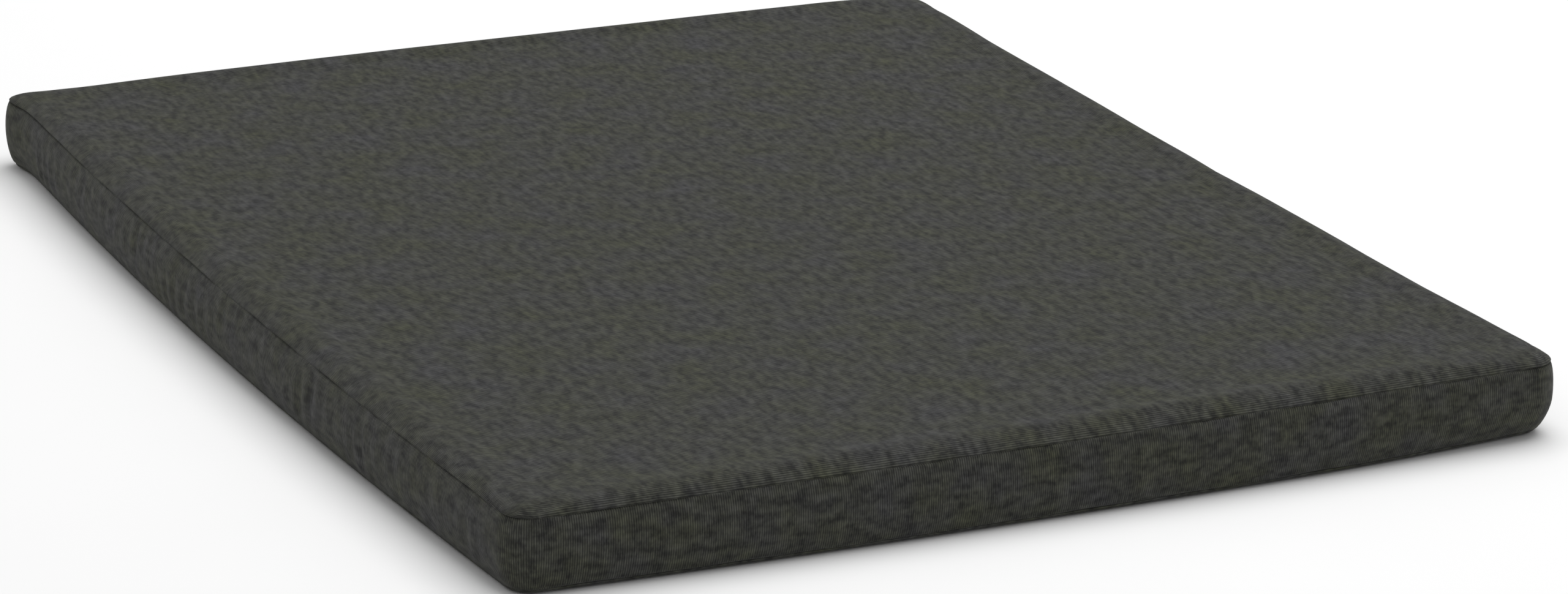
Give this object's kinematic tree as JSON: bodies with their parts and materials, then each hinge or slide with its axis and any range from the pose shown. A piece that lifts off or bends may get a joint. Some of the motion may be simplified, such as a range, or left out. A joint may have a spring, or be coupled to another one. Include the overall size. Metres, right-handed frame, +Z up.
{
  "type": "futon mattress",
  "caption": "Thin boxed double futon mattress with a zipped cover of dark ribbed cloth over casing, wadding, felt and a foam core.",
  "frame": {"origin": "centre of the underside, the face that the mattress lies on", "axes": "+Z up, +X along the width of the bed, +Y along its length towards the border with the zip"},
  "size_m": [1.6, 2.0041, 0.12],
  "materials": {
    "cover_cloth": "matte",
    "sewing_thread": "matte",
    "casing_cloth": "matte",
    "wadding": "matte",
    "cotton_felt": "matte",
    "foam": "matte",
    "zip_tape": "matte",
    "zip_coil": "satin",
    "zip_stop": "satin",
    "zip_slider": "satin"
  },
  "bodies": {
    "mattress": {"cover_top_panel": "cover_cloth", "cover_bottom_panel": "cover_cloth", "cover_border_strip": "cover_cloth", "cover_zip_strip_upper": "cover_cloth", "cover_zip_strip_lower": "cover_cloth", "cover_seam_thread_top": "sewing_thread", "cover_seam_thread_bottom": "sewing_thread", "border_join_threads": "sewing_thread", "zip_strip_join_threads": "sewing_thread", "zip_topstitch_upper": "sewing_thread", "zip_topstitch_lower": "sewing_thread", "inner_casing_top": "casing_cloth", "inner_casing_bottom": "casing_cloth", "inner_casing_border": "casing_cloth", "wadding_top": "wadding", "wadding_bottom": "wadding", "wadding_border": "wadding", "felt_layer_top": "cotton_felt", "felt_layer_bottom": "cotton_felt", "foam_core": "foam", "zip_tape_upper": "zip_tape", "zip_tape_lower": "zip_tape", "zip_coil_upper": "zip_coil", "zip_coil_lower": "zip_coil", "zip_bottom_stop": "zip_stop", "zip_top_stop_upper": "zip_stop", "zip_top_stop_lower": "zip_stop"},
    "slider": {"zip_slider": "zip_slider"},
    "pull": {"zip_pull_tab": "zip_slider"}
  },
  "joints": [
    {"name": "zip_slide", "type": "slide", "parent": "mattress", "child": "slider", "axis": [-1, 0, 0], "range_m": [0, 1.377]},
    {"name": "pull_flip", "type": "hinge", "parent": "slider", "child": "pull", "pos_m": [0.6895, 1.0022, 0.06], "axis": [0, 0, -1], "range_deg": [0, 175]}
  ]
}
